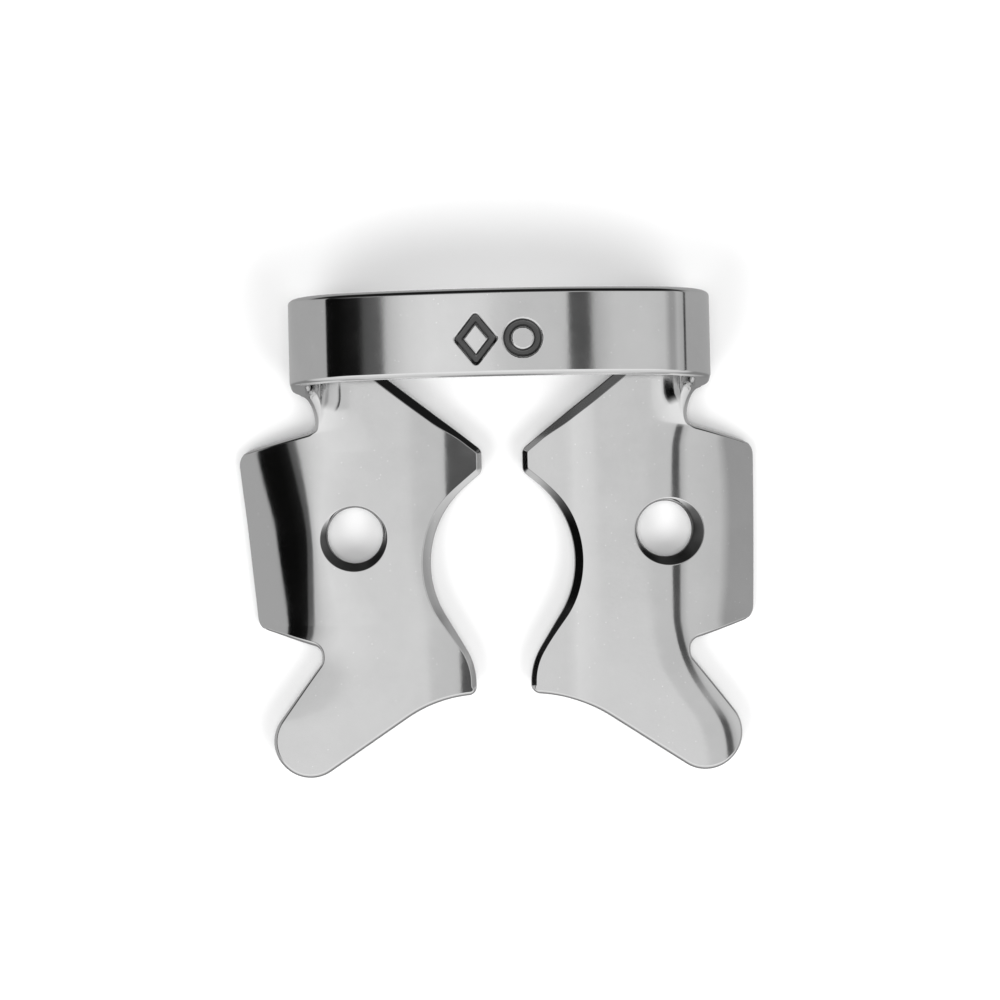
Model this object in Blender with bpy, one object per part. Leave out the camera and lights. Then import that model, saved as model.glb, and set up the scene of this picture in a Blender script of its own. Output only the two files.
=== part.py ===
"""Rubber dam clamp, built as it is made: one strip of spring steel, blanked flat and then bent.

Each half is drawn as a flat blank, its edges are rounded, and the blank is formed: the jaw's
prongs dip towards the tooth, the wing folds down and outward, and the strap turns up at its
foot and arches over to the other half, where the two halves meet in the middle of the bow.

Metres, +Z up. +X is the clamp's right, +Y is distal, towards the bow. The clamp stands on the
outer edges of its wings with the bow on top.
"""
import math

import bmesh
import bpy
from mathutils import Vector

# Sheet
SHEET = 0.0009              # thickness of the strip
EDGE_ROUND = 0.0003         # how far the rounding runs in from every edge of the sheet

# Bow: the strap that joins the two jaws
BOW_HALF_WIDTH = 0.0090     # from the middle to the centre of the leg's sheet
BOW_CLEARANCE = 0.0086      # from the jaws' upper faces to the underside of the bow's middle
STRAP_WIDTH = 0.0041
STRAP_MESIAL = 0.0063       # mesial edge of the strap, at its foot
STRAP_ROOT_X = 0.00936      # where the strap's distal edge turns towards the distal prong
STRAP_ROOT_RADIUS = 0.0030
CROWN_RADIUS = 0.0200       # the long shallow arc over the top, at the middle of the sheet
SHOULDER_RADIUS = 0.0034
FOOT_RADIUS = 0.0020
BOW_LEAN = 0.05             # distal shift for each metre of height

# Jaw, with its prongs and its bite for the tooth
DISTAL_PRONG_X = 0.00093    # ends of the distal prongs, from the middle
DISTAL_PRONG_Y = 0.00325    # middle of the end of a distal prong
DISTAL_PRONG_END = 0.0010   # length of that end
MESIAL_PRONG_Y = -0.00736   # mesial corner of a mesial prong
PRONG_CORNER = 0.00042      # rounding of the prongs' corners
BITE_X = 0.00466            # where the two straight sides of the bite would meet
BITE_Y = -0.0003
BITE_RADIUS = 0.0046
BITE_END_Y = -0.00602       # where the bite's mesial side turns into the prong
BITE_END_RADIUS = 0.0030
PRONG_DIP_START = 0.0042    # the jaw is level outside this distance from the middle
PRONG_DIP_RADIUS = 0.0100

# Anterior wing: the lobe at the mesial end of a jaw
LOBE_X = 0.00895            # centre of the lobe's round end
LOBE_Y = -0.0093
LOBE_RADIUS = 0.00167
LOBE_FACING = math.radians(-43)  # the way the lobe points, from +X
LOBE_SWEEP = math.radians(80)    # the part of its round end that both of its corners span
JAW_EDGE_X = 0.00326        # bend in the jaw's mesial edge
JAW_EDGE_Y = -0.00752
JAW_EDGE_RADIUS = 0.0070

# Wing, with the notches at its two ends
WING_DISTAL_Y = 0.00384     # distal outer corner
WING_MESIAL_Y = -0.00415    # mesial outer corner
WING_CORNER = 0.00075
WING_ANGLE = math.radians(34)
WING_DROP = 0.0018          # the ends of a folded wing's outer edge lie this far below its jaw
WING_ARCH = 0.00006         # the middle of that edge stands this much higher than its ends
FOLD_MIDDLE_Y = -0.0005     # the fold line is closest to the jaw here
FOLD_SPAN = 0.00535         # from there to a notch
FOLD_BOW = 0.00045          # how far the fold line swings out on the way to a notch
DISTAL_NOTCH_X = 0.00845
DISTAL_NOTCH_Y = 0.00476
DISTAL_NOTCH_RADIUS = 0.00125
MESIAL_NOTCH_X = 0.00836
MESIAL_NOTCH_Y = -0.0051
MESIAL_NOTCH_LENGTH = 0.00068
NOTCH_RADIUS = 0.0005

# Hole for the forceps
HOLE_DIAMETER = 0.00252

# The two sides differ a little, as stamped clamps do. Sizes are from the middle, seen from above.
SIDES = {
    "right": {"turn": 1, "hole_x": 0.00735, "hole_y": 0.0, "mesial_prong_x": 0.00112,
              "fold_x": 0.00665, "wing_distal_x": 0.0113, "wing_mesial_x": 0.01115},
    "left": {"turn": -1, "hole_x": 0.00675, "hole_y": 0.0, "mesial_prong_x": 0.0014,
             "fold_x": 0.0070, "wing_distal_x": 0.01187, "wing_mesial_x": 0.01107},
}

# Fineness of the mesh
ARC_STEP = math.radians(15)
CHORD = 0.0007              # longest side on a round stretch of the outline
HOLE_POINTS = 28
RINGS = 3                   # steps in the rounding of an edge
PRONG_STEP = 0.0008         # between cuts along the blank
FOOT_STEP = 0.00045
WING_STEP = 0.0009
SHOULDER_STEP = 0.0006
CROWN_STEP = 0.0014
JAW_STEP = 0.0013           # between cuts along Y
NECK_STEP = 0.0004
FILL_SCALE = 1000           # the curve is filled at this scale, well above its merging distance
SNAP = 0.00004              # a cut this close to a point runs through the point
MERGE = 0.00001
PROBE = 0.00002             # step that measures which way the formed sheet faces
STRAIGHT = 1                # a curvature below this, in 1/m, counts as straight
FILLET_SHARE = 0.98         # the most of a side that its two fillets take up together

STEEL = (0.62, 0.62, 0.63, 1)


def strap_distal():
    """Distal edge of the strap, at its foot."""
    return STRAP_MESIAL + STRAP_WIDTH


def crown_angle():
    """Half of the angle that the crown's arc spans, so that it runs into the shoulders."""
    return math.asin((BOW_HALF_WIDTH - SHOULDER_RADIUS) / (CROWN_RADIUS - SHOULDER_RADIUS))


def leg_length():
    """Straight height of a leg between its foot and its shoulder."""
    angle = crown_angle()
    crown_rise = CROWN_RADIUS * (1 - math.cos(angle))
    shoulder_rise = SHOULDER_RADIUS * math.cos(angle)
    return BOW_CLEARANCE + SHEET - FOOT_RADIUS - shoulder_rise - crown_rise


def strap_arcs():
    """The strap's side view as (start along the blank, curvature), from the jaw to the crown."""
    foot = BOW_HALF_WIDTH - FOOT_RADIUS
    leg = foot + FOOT_RADIUS * math.pi / 2
    shoulder = leg + leg_length()
    crown = shoulder + SHOULDER_RADIUS * (math.pi / 2 - crown_angle())
    return [(foot, 1 / FOOT_RADIUS), (leg, 0), (shoulder, 1 / SHOULDER_RADIUS),
            (crown, 1 / CROWN_RADIUS)]


def bow_middle():
    """Distance along the blank to the middle of the bow."""
    return strap_arcs()[-1][0] + CROWN_RADIUS * crown_angle()


def fold_line(v, side):
    """Where the wing's fold starts at the place v, from the middle."""
    swing = abs(v - FOLD_MIDDLE_Y) / FOLD_SPAN
    return side["fold_x"] + FOLD_BOW * swing ** 4


def fold_radius(v, side):
    """Radius of the fold at the place v that brings the wing's outer edge down by its drop."""
    v = min(max(v, WING_MESIAL_Y), WING_DISTAL_Y)
    along = (v - WING_MESIAL_Y) / (WING_DISTAL_Y - WING_MESIAL_Y)
    edge = side["wing_mesial_x"] + (side["wing_distal_x"] - side["wing_mesial_x"]) * along
    drop = WING_DROP - WING_ARCH * (1 - (2 * along - 1) ** 2)
    sharp_drop = (edge - fold_line(v, side)) * math.tan(WING_ANGLE)
    return (sharp_drop - drop) * math.cos(WING_ANGLE) / (1 - math.cos(WING_ANGLE))


def wing_arcs(v, side):
    """The wing's side view as (start along the blank, curvature), at the place v."""
    fold, radius = fold_line(v, side), fold_radius(v, side)
    return [(fold, -1 / radius), (fold + radius * WING_ANGLE, 0)]


def blank_edge(v, edge, side):
    """Distance along the blank of a wing's outer edge, which lies at edge once it is folded."""
    fold, radius = fold_line(v, side), fold_radius(v, side)
    level = (edge - fold - radius * math.sin(WING_ANGLE)) / math.cos(WING_ANGLE)
    return fold + radius * WING_ANGLE + level


def strap_share(v):
    """0 where the sheet follows the wing, 1 where it follows the strap, smooth at the notch."""
    t = (v - DISTAL_NOTCH_Y) / (STRAP_MESIAL - DISTAL_NOTCH_Y)
    t = min(max(t, 0), 1)
    return t * t * (3 - 2 * t)


def curvature(arcs, s):
    """Curvature at the distance s along the blank."""
    value = 0
    for start, bend in arcs:
        if s >= start:
            value = bend
    return value


def middle_point(u, v, side):
    """Where the point (u, v) of the blank's middle surface lies once the sheet is formed."""
    if u < PRONG_DIP_START:
        dip = (PRONG_DIP_START - u) / PRONG_DIP_RADIUS
        reach = PRONG_DIP_START - PRONG_DIP_RADIUS * math.sin(dip)
        return Vector((reach, v, -PRONG_DIP_RADIUS * (1 - math.cos(dip))))
    share = strap_share(v)
    strap = strap_arcs()
    wing = wing_arcs(v, side)
    stops = sorted(start for start, bend in strap + wing if start < u) + [u]
    s, x, z, angle = PRONG_DIP_START, PRONG_DIP_START, 0, 0
    for stop in stops:
        length = max(stop - s, 0)
        middle = (s + stop) / 2
        bend = share * curvature(strap, middle) + (1 - share) * curvature(wing, middle)
        end = angle + bend * length
        if abs(bend) < STRAIGHT:
            x += math.cos(angle) * length
            z += math.sin(angle) * length
        else:
            x += (math.sin(end) - math.sin(angle)) / bend
            z += (math.cos(angle) - math.cos(end)) / bend
        s, angle = max(s, stop), end
    return Vector((x, v + BOW_LEAN * share * max(z, 0), z))


def formed(u, v, height, side):
    """A point of the blank, height above its middle surface, once the sheet is formed."""
    along = middle_point(u + PROBE, v, side) - middle_point(u - PROBE, v, side)
    across = middle_point(u, v + PROBE, side) - middle_point(u, v - PROBE, side)
    point = middle_point(u, v, side) + height * along.cross(across).normalized()
    return Vector((point.x * side["turn"], point.y, point.z))


def lobe_corners():
    """Two corners around the round end of the anterior wing, square to its diagonal."""
    reach = LOBE_RADIUS * math.tan(LOBE_SWEEP / 2)
    away = Vector((math.cos(LOBE_FACING), math.sin(LOBE_FACING)))
    along = Vector((-away.y, away.x))
    tip = Vector((LOBE_X, LOBE_Y)) + LOBE_RADIUS * away
    return tip - reach * along, tip + reach * along


def corners(side):
    """Corners of one half's blank as (distance out, place along Y, rounding)."""
    half_end = DISTAL_PRONG_END / 2
    beyond = bow_middle() + STRAP_WIDTH
    lobe_low, lobe_high = lobe_corners()
    wing_mesial = blank_edge(WING_MESIAL_Y, side["wing_mesial_x"], side)
    wing_distal = blank_edge(WING_DISTAL_Y, side["wing_distal_x"], side)
    return [
        (beyond, strap_distal(), 0),
        (STRAP_ROOT_X, strap_distal(), STRAP_ROOT_RADIUS),
        (DISTAL_PRONG_X, DISTAL_PRONG_Y + half_end, PRONG_CORNER),
        (DISTAL_PRONG_X, DISTAL_PRONG_Y - half_end, PRONG_CORNER),
        (BITE_X, BITE_Y, BITE_RADIUS),
        (side["mesial_prong_x"], BITE_END_Y, BITE_END_RADIUS),
        (side["mesial_prong_x"], MESIAL_PRONG_Y, PRONG_CORNER),
        (JAW_EDGE_X, JAW_EDGE_Y, JAW_EDGE_RADIUS),
        (lobe_low.x, lobe_low.y, LOBE_RADIUS),
        (lobe_high.x, lobe_high.y, LOBE_RADIUS),
        (MESIAL_NOTCH_X, MESIAL_NOTCH_Y - MESIAL_NOTCH_LENGTH, NOTCH_RADIUS),
        (MESIAL_NOTCH_X, MESIAL_NOTCH_Y, NOTCH_RADIUS),
        (wing_mesial, WING_MESIAL_Y, WING_CORNER),
        (wing_distal, WING_DISTAL_Y, WING_CORNER),
        (DISTAL_NOTCH_X, DISTAL_NOTCH_Y, NOTCH_RADIUS),
        (DISTAL_NOTCH_X, STRAP_MESIAL, DISTAL_NOTCH_RADIUS),
        (beyond, STRAP_MESIAL, 0),
    ]


def rounded(outline):
    """Points of a closed outline with its corners rounded, each as far as its sides allow."""
    places = [Vector(corner[:2]) for corner in outline]
    count = len(outline)
    reaches, halves = [], []
    for i, place in enumerate(places):
        back, ahead = places[i - 1] - place, places[(i + 1) % count] - place
        halves.append(back.angle(ahead) / 2)
        reaches.append(outline[i][2] / math.tan(halves[i]))
    room = [1] * count
    for i, place in enumerate(places):
        after = (i + 1) % count
        needed = reaches[i] + reaches[after]
        side_length = (places[after] - place).length
        fit = min(1, FILLET_SHARE * side_length / needed) if needed else 1
        room[i], room[after] = min(room[i], fit), min(room[after], fit)
    points = []
    for i, place in enumerate(places):
        reach = reaches[i] * room[i]
        if reach == 0:
            points.append(place)
            continue
        back = (places[i - 1] - place).normalized()
        ahead = (places[(i + 1) % count] - place).normalized()
        radius = reach * math.tan(halves[i])
        centre = place + (back + ahead).normalized() * radius / math.sin(halves[i])
        sweep = math.pi - 2 * halves[i]
        steps = max(2, math.ceil(sweep / ARC_STEP), math.ceil(sweep * radius / CHORD))
        first = place + back * reach - centre
        turn = math.copysign(sweep, -back.cross(ahead))
        for k in range(steps + 1):
            angle = turn * k / steps
            spun = Vector((first.x * math.cos(angle) - first.y * math.sin(angle),
                           first.x * math.sin(angle) + first.y * math.cos(angle)))
            points.append(centre + spun)
    return points


def hole_points(side, inset):
    """The forceps hole in the blank, widened by an inset."""
    centre = Vector((side["hole_x"], side["hole_y"]))
    radius = HOLE_DIAMETER / 2 + inset
    turns = [2 * math.pi * k / HOLE_POINTS for k in range(HOLE_POINTS)]
    return [centre + radius * Vector((math.cos(turn), math.sin(turn))) for turn in turns]


def moved_in(loop, distance):
    """An anticlockwise loop with every side moved inward by a distance."""
    moved = []
    for i, here in enumerate(loop):
        before = (here - loop[i - 1]).normalized()
        after = (loop[(i + 1) % len(loop)] - here).normalized()
        square = Vector((-after.y, after.x))
        inward = (Vector((-before.y, before.x)) + square).normalized()
        moved.append(here + inward * distance / inward.dot(square))
    return moved


def loops(side, inset):
    """The blank's outline and its hole, both moved into the sheet by an inset."""
    return [moved_in(rounded(corners(side)), inset), hole_points(side, inset)]


def filled(side):
    """The level part of the blank's upper skin, inside the rounded edges."""
    curve = bpy.data.curves.new("blank", "CURVE")
    curve.dimensions = "2D"
    curve.fill_mode = "BOTH"
    for loop in loops(side, EDGE_ROUND):
        spline = curve.splines.new("POLY")
        spline.points.add(len(loop) - 1)
        for point, place in zip(spline.points, loop):
            point.co = (place.x * FILL_SCALE, place.y * FILL_SCALE, 0, 1)
        spline.use_cyclic_u = True
    outline = bpy.data.objects.new("blank", curve)
    bpy.context.scene.collection.objects.link(outline)
    bpy.context.view_layer.update()
    evaluated = outline.evaluated_get(bpy.context.evaluated_depsgraph_get())
    mesh = bpy.data.meshes.new_from_object(evaluated)
    bpy.data.objects.remove(outline)
    sheet = bmesh.new()
    sheet.from_mesh(mesh)
    bpy.data.meshes.remove(mesh)
    bmesh.ops.scale(sheet, verts=sheet.verts, vec=[1 / FILL_SCALE] * 3)
    bmesh.ops.translate(sheet, verts=sheet.verts, vec=(0, 0, SHEET / 2))
    return sheet


def round_edges(sheet, side):
    """Add the upper half of every edge's rounding, a quarter ellipse in rings."""
    rings = []
    for ring in range(RINGS + 1):
        angle = math.pi / 2 * ring / RINGS
        height = SHEET / 2 * math.sin(angle)
        rings.append([[sheet.verts.new((place.x, place.y, height)) for place in loop]
                      for loop in loops(side, EDGE_ROUND * (1 - math.cos(angle)))])
    for outer, inner in zip(rings, rings[1:]):
        for low, high, flip in zip(outer, inner, (False, True)):
            for i in range(len(low)):
                corners_of_face = [low[i - 1], low[i], high[i], high[i - 1]]
                sheet.faces.new(corners_of_face[::-1] if flip else corners_of_face)
    bmesh.ops.remove_doubles(sheet, verts=sheet.verts, dist=MERGE / 5)


def spread(start, stop, step):
    """Evenly spaced places from start to stop, at most a step apart."""
    count = max(1, math.ceil((stop - start) / step))
    return [start + (stop - start) * k / count for k in range(count + 1)]


def bend_lines(side):
    """Places along the blank where it is cut across, so that its facets can follow the bends."""
    foot, leg, shoulder, crown = [start for start, bend in strap_arcs()]
    wing_edge = max(side["wing_distal_x"], side["wing_mesial_x"]) + WING_STEP
    return (spread(DISTAL_PRONG_X, PRONG_DIP_START, PRONG_STEP)[1:]
            + spread(side["fold_x"], leg, FOOT_STEP)
            + spread(leg, wing_edge, WING_STEP)[1:]
            + spread(shoulder, crown, SHOULDER_STEP)
            + spread(crown, bow_middle(), CROWN_STEP)[1:-1])


def cross_lines():
    """Places along Y where the jaw is cut, closer together where wing and strap part."""
    return (spread(LOBE_Y - LOBE_RADIUS, DISTAL_NOTCH_Y, JAW_STEP)[1:]
            + spread(DISTAL_NOTCH_Y, STRAP_MESIAL, NECK_STEP)[1:])


def cut(sheet, place, direction, drop_beyond=False):
    """Cut the blank straight across at a place along the given direction."""
    everything = list(sheet.verts) + list(sheet.edges) + list(sheet.faces)
    bmesh.ops.bisect_plane(sheet, geom=everything, dist=SNAP, plane_co=direction * place,
                           plane_no=direction, clear_outer=drop_beyond)


def clear_slivers(sheet):
    """Dissolve what the fill left inside the outline, so that only the straight cuts remain."""
    level = SHEET / 2 - MERGE
    leftover = []
    for edge in sheet.edges:
        one, two = (vert.co for vert in edge.verts)
        slanted = min(abs(one.x - two.x), abs(one.y - two.y)) > SNAP
        flat = all(vert.co.z > level for face in edge.link_faces for vert in face.verts)
        if slanted and flat and not edge.is_boundary:
            leftover.append(edge)
    bmesh.ops.dissolve_edges(sheet, edges=leftover, use_verts=True)


def close_sheet(sheet):
    """Add the lower skin, which meets the upper one along the middle of every edge."""
    copied = bmesh.ops.duplicate(sheet, geom=list(sheet.verts) + list(sheet.edges) + list(sheet.faces))
    verts = [item for item in copied["geom"] if isinstance(item, bmesh.types.BMVert)]
    faces = [item for item in copied["geom"] if isinstance(item, bmesh.types.BMFace)]
    bmesh.ops.scale(sheet, verts=verts, vec=(1, 1, -1))
    bmesh.ops.reverse_faces(sheet, faces=faces)
    rim = [vert for vert in sheet.verts if abs(vert.co.z) < MERGE / 10]
    bmesh.ops.remove_doubles(sheet, verts=rim, dist=MERGE / 10)


def half_clamp(side):
    """One half of the clamp, formed, and open where it meets the other in the middle of the bow."""
    sheet = filled(side)
    round_edges(sheet, side)
    for place in bend_lines(side):
        cut(sheet, place, Vector((1, 0, 0)))
    for place in cross_lines():
        cut(sheet, place, Vector((0, 1, 0)))
    cut(sheet, bow_middle(), Vector((1, 0, 0)), drop_beyond=True)
    clear_slivers(sheet)
    bmesh.ops.triangulate(sheet, faces=list(sheet.faces))
    close_sheet(sheet)
    for vert in sheet.verts:
        vert.co = formed(vert.co.x, vert.co.y, vert.co.z, side)
    if side["turn"] < 0:
        bmesh.ops.reverse_faces(sheet, faces=list(sheet.faces))
    return sheet


def clamp_mesh():
    """Both halves as one closed mesh, standing on the ground with its middle over the origin."""
    whole = bmesh.new()
    for side in SIDES.values():
        half = half_clamp(side)
        mesh = bpy.data.meshes.new("half")
        half.to_mesh(mesh)
        half.free()
        whole.from_mesh(mesh)
        bpy.data.meshes.remove(mesh)
    bmesh.ops.remove_doubles(whole, verts=whole.verts, dist=MERGE)
    bmesh.ops.recalc_face_normals(whole, faces=whole.faces)
    low = Vector(min(vert.co[axis] for vert in whole.verts) for axis in range(3))
    high = Vector(max(vert.co[axis] for vert in whole.verts) for axis in range(3))
    foot = Vector(((low.x + high.x) / 2, (low.y + high.y) / 2, low.z))
    bmesh.ops.translate(whole, verts=whole.verts, vec=-foot)
    mesh = bpy.data.meshes.new("clamp")
    whole.to_mesh(mesh)
    whole.free()
    return mesh


def steel():
    """Polished spring steel."""
    material = bpy.data.materials.new("polished_steel")
    material.use_nodes = True
    shader = material.node_tree.nodes["Principled BSDF"]
    shader.inputs["Base Color"].default_value = STEEL
    shader.inputs["Metallic"].default_value = 1
    shader.inputs["Roughness"].default_value = 0.12
    return material


def main():
    for old in list(bpy.data.objects):
        bpy.data.objects.remove(old)
    collection = bpy.data.collections.new("rubber_dam_clamp")
    bpy.context.scene.collection.children.link(collection)
    mesh = clamp_mesh()
    mesh.materials.append(steel())
    mesh.shade_smooth()
    mesh.set_sharp_from_angle(angle=math.radians(40))
    collection.objects.link(bpy.data.objects.new("clamp", mesh))


main()
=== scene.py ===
"""Looks of the rubber dam clamp: its fine surface, polished steel, and the studio round it.

The clamp is drawn again as one flat blank, much finer than the solid, and is formed by the same
bends, some of them refined. Its edges are rounded, and bevelled along the bites, the distal edges
and the forceps holes, whose walls are dull and darkened by painted shade. The bow carries a plain
stamped mark, a rhombus and a ring, whose recess is dull and darkened by painted shade too. The
studio is a white floor under a world whose brightness depends on the direction: bright
overhead, with dark boards to the left, the right and the distal side, as polished steel needs.
A pale dome behind it all is seen by the camera only.

Metres, +Z up. +X is the clamp's right, +Y is distal, towards the bow.
"""
import math

import bpy
import numpy as np
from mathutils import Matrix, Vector
from mathutils.geometry import delaunay_2d_cdt
from mathutils.kdtree import KDTree


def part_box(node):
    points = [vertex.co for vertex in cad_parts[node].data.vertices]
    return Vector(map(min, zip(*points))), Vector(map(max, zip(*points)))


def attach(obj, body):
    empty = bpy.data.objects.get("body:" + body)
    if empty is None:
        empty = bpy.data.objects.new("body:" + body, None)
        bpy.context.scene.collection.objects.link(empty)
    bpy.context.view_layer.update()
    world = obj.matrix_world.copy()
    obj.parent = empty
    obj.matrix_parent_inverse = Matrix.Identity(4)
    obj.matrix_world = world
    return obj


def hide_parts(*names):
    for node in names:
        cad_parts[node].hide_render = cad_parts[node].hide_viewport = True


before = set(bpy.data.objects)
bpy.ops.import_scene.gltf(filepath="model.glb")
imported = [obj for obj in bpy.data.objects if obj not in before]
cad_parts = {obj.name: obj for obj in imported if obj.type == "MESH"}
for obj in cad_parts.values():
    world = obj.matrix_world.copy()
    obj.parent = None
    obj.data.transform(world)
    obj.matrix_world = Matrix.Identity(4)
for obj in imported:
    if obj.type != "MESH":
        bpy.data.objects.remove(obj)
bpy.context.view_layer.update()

# Sheet
SHEET = 0.0009              # thickness of the strip
EDGE_ROUND = 0.00017        # how far the rounding runs in from the edges of the wings and lobes
STRAP_EDGE_ROUND = 0.00026  # and from the edges of the bow
BEVEL_WIDTH = 0.00044       # how far the bevel of the bite and the distal edges runs in
BEVEL_OUTER_ROUND = 0.00010    # rounding between it and the edge
BEVEL_INNER_ROUND = 0.00012    # and between it and the face
PRONG_EDGE_ROUND = 0.00029  # width of the bevel at the prongs' ends
PRONG_EDGE_FROM = 0.0017    # between these distances from the middle it grows to its full width
PRONG_EDGE_TO = 0.0030
HOLE_RIM_THIN = 0.00010     # width of a forceps hole's rim on the side away from its bevel
DULL_AND_SHADE_FROM = 0.25            # its wall turns dull and darker with painted shade between these shares of its full bevel
DULL_AND_SHADE_TO = 0.60

# Bow: the strap that joins the two jaws
BOW_HALF_WIDTH = 0.0090     # from the middle to the centre of the leg's sheet
BOW_CLEARANCE = 0.0086      # from the jaws' upper faces to the underside of the bow's middle
STRAP_WIDTH = 0.0041
STRAP_MESIAL = 0.0063       # mesial edge of the strap, at its foot
STRAP_TRIM = 0.00018        # the strap is narrower by this much from its crown on
STRAP_TRIM_RADIUS = 0.0500  # rounding of the corner where it narrows
STRAP_ROOT_X = 0.00936      # where the strap's distal edge turns towards the distal prong
STRAP_ROOT_RADIUS = 0.0030
CROWN_RADIUS = 0.0200       # the long shallow arc over the top, at the middle of the sheet
SHOULDER_RADIUS = 0.0034
FOOT_RADIUS = 0.0020
BOW_LEAN = 0.05             # distal shift for each metre of height

# Jaw, with its prongs and its bite for the tooth
DISTAL_PRONG_X = 0.00093    # ends of the distal prongs, from the middle
DISTAL_PRONG_Y = 0.00325    # middle of the end of a distal prong
DISTAL_PRONG_END = 0.0010   # length of that end
MESIAL_PRONG_Y = -0.00736   # mesial corner of a mesial prong
PRONG_CORNER = 0.00042      # rounding of the prongs' corners
BITE_X = 0.00466            # where the two straight sides of the bite would meet
BITE_Y = -0.0003
BITE_RADIUS = 0.0046
BITE_END_Y = -0.00602       # where the bite's mesial side turns into the prong
BITE_END_RADIUS = 0.0030
PRONG_DIP_START = 0.0042    # the jaw is level outside this distance from the middle
MESIAL_DIP_START = 0.0037   # the same on the left mesial prong

# Anterior wing: the lobe at the mesial end of a jaw
LOBE_X = 0.00895            # centre of the lobe's round end
LOBE_Y = -0.0093
LOBE_RADIUS = 0.00167
LOBE_FACING = math.radians(-43)  # the way the lobe points, from +X
LOBE_SWEEP = math.radians(80)    # the part of its round end that both of its corners span
JAW_EDGE_X = 0.00326        # bend in the jaw's mesial edge
JAW_EDGE_Y = -0.00752
JAW_EDGE_RADIUS = 0.0070

# Wing, with the notches at its two ends
WING_DISTAL_Y = 0.00384     # distal outer corner
WING_MESIAL_Y = -0.00415    # mesial outer corner
WING_CORNER = 0.00075
WING_ANGLE = math.radians(34)
WING_DROP = 0.0018          # the ends of a folded wing's outer edge lie this far below its jaw
WING_ARCH = 0.00006         # the middle of that edge stands this much higher than its ends
FOLD_MIDDLE_Y = -0.0005     # the fold line is closest to the jaw here
FOLD_SPAN = 0.00535         # from there to a notch
FOLD_BOW = 0.00045          # how far the fold line swings out on the way to a notch
FOLD_POWER = 4              # how suddenly it swings out
CREASE_LEAN = math.radians(15.4)  # where the fold's gentle inner arc meets its tighter outer arc
CREASE_Y = 0.0003           # the crease between them swings out on both sides of this place
CREASE_TURN = 0.0010        # and turns within about this distance of it
LOBE_ROOT_Y = -0.0043       # between these places the fold of a level lobe fades out
LOBE_LEVEL_Y = -0.0086
NECK_MESIAL = 0.0047        # between these places the wing's fold gives way to the strap's bends
NECK_DISTAL = 0.0063
DISTAL_NOTCH_X = 0.00845
DISTAL_NOTCH_Y = 0.00476
DISTAL_NOTCH_RADIUS = 0.00125
MESIAL_NOTCH_X = 0.00836
MESIAL_NOTCH_Y = -0.0051
MESIAL_NOTCH_LENGTH = 0.00068
NOTCH_RADIUS = 0.0005

# Hole for the forceps
HOLE_DIAMETER = 0.00252

# The two sides differ a little, as stamped clamps do. Sizes are from the middle, seen from above.
# hole_rim is the greatest width of the bevel round the forceps hole, hole_rim_facing the way from
# the hole's middle to it, as an angle from outwards, and hole_rim_lean its lean. bevel_lean is the
# lean of the bite's bevel. The prongs dip by an arc of dip_radius up to dip_lean and run on
# straight. The mesial one starts to dip at dip_start. The fold line swings out by less than
# fold_swing. Far from CREASE_Y, the crease swings out by crease_swing for each CREASE_TURN. The
# fold's outer arc has tight_mesial of the fold's radius at the wing's mesial corner, and
# tight_distal of it from y 0 on. A level lobe takes no part in the fold.
SIDES = {
    "right": {"turn": 1, "hole_x": 0.00735, "hole_y": 0.0, "hole_rim": 0.00050,
              "hole_rim_facing": math.radians(-45), "hole_rim_lean": math.radians(36),
              "mesial_prong_x": 0.00112,
              "dip_start": PRONG_DIP_START, "dip_radius": 0.0052, "dip_lean": math.radians(12),
              "bevel_lean": math.radians(19.5),
              "fold_x": 0.00665, "fold_swing": 0.00245, "crease_swing": 0.0, "lobe_level": False,
              "tight_mesial": 1.0, "tight_distal": 1.0,
              "wing_distal_x": 0.0113, "wing_mesial_x": 0.01115},
    "left": {"turn": -1, "hole_x": 0.00675, "hole_y": 0.0, "hole_rim": 0.00042,
             "hole_rim_facing": math.radians(-80), "hole_rim_lean": math.radians(29),
             "mesial_prong_x": 0.0014,
             "dip_start": MESIAL_DIP_START, "dip_radius": 0.0097, "dip_lean": math.radians(10.4),
             "bevel_lean": math.radians(34),
             "fold_x": 0.0070, "fold_swing": 0.0100, "crease_swing": 0.000175, "lobe_level": True,
             "tight_mesial": 0.555, "tight_distal": 0.78,
             "wing_distal_x": 0.01187, "wing_mesial_x": 0.01107},
}

# Stamped mark on the outer face of the bow: a rhombus and a ring, side by side
MARK_Y = 0.00815            # its middle, along Y on the blank
MARK_SPACING = 0.00205      # between the middles of the two signs
MARK_DEPTH = 0.00016
MARK_STROKE = 0.00042       # width of a stroke at the face of the bow
MARK_FLOOR = 0.45           # share of a stroke's width that is its level floor
RHOMBUS_WIDTH = 0.00150     # to the middle of its stroke
RHOMBUS_HEIGHT = 0.00190
RING_DIAMETER = 0.00135
MARK_PATCH = (0.0042, 0.0028)    # size of the finely meshed patch round it

# Fineness of the mesh
ARC_STEP = math.radians(4)
CHORD = 0.00015             # longest side of the outline
OUTER_STEPS = 4             # steps in the rounding between a bevel and its edge
INNER_STEPS = 3             # and between a bevel and the face
RINGS = OUTER_STEPS + INNER_STEPS + 2    # from the middle of an edge to the face
GRID = 0.0002               # spacing of the points inside the outline
BEND_GRID = 0.00012         # and along the strap's tight bends
MARK_GRID = 0.00005         # and round the mark
BORDER_SHARE = 0.7          # those points keep this share of CHORD clear of the loops
FILL_SCALE = 1000           # the blank is filled at this scale, well above the merging distance
FILL_MERGE = 1e-6           # merging distance at that scale
BLEND = 0.0003              # the bends run into each other over this distance
PROBE = 0.00004             # step that measures which way the formed sheet faces
FILLET_SHARE = 0.98         # the most of a side that its two fillets take up together
BEVEL_FROM = 0.15           # an edge's bevel grows to its full size between these shares of
BEVEL_TO = 0.5              # facing the middle

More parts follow.
